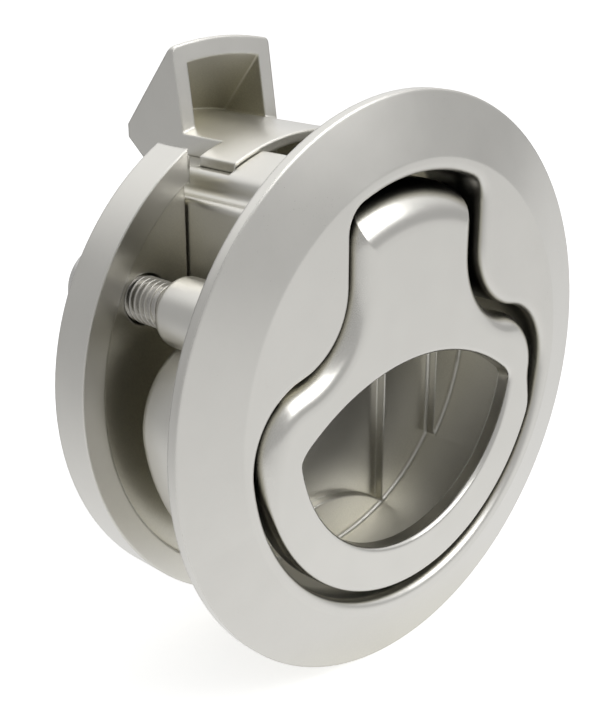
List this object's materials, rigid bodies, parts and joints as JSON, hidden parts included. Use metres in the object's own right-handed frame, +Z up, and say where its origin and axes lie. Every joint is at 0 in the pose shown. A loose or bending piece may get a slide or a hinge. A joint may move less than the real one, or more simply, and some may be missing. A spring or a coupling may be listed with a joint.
{
  "type": "slam latch",
  "caption": "Round flush-pull slam latch: a bell-shaped handle in a flanged cup draws down a spring-loaded wedge bolt; a clamp ring and screws grip the panel.",
  "frame": {"origin": "on the axis of the round flange, in the plane of the flange's back face, which is the panel's front face", "axes": "+X right as seen from the front, +Y into the panel, +Z up, the way the bolt throws"},
  "size_m": [0.062, 0.0378, 0.0652],
  "materials": {
    "cast_stainless": "bead-blasted satin",
    "pin_steel": "ground",
    "spring_steel": "drawn wire",
    "screw_steel": "rolled thread"
  },
  "bodies": {
    "body": {"housing": "cast_stainless", "hinge_pin": "pin_steel", "clamp_ring": "cast_stainless", "clamp_screw_left": "screw_steel", "clamp_screw_right": "screw_steel", "bolt_spring": "spring_steel"},
    "handle": {"pull_handle": "cast_stainless", "return_spring_left": "spring_steel", "return_spring_right": "spring_steel"},
    "bolt": {"latch_bolt": "cast_stainless", "drive_pin": "pin_steel"}
  },
  "joints": [
    {"name": "handle_hinge", "type": "hinge", "parent": "body", "child": "handle", "pos_m": [0, 0.00185, 0.0169], "axis": [-1, 0, 0], "range_deg": [0, 25.4]},
    {"name": "bolt_slide", "type": "slide", "parent": "body", "child": "bolt", "axis": [0, 0, -1], "range_m": [0, 0.0088], "deforming": ["bolt_spring"]}
  ],
  "couplings": [
    {"joint": "bolt_slide", "follows": "handle_hinge", "m_per_rad": 0.019851}
  ]
}
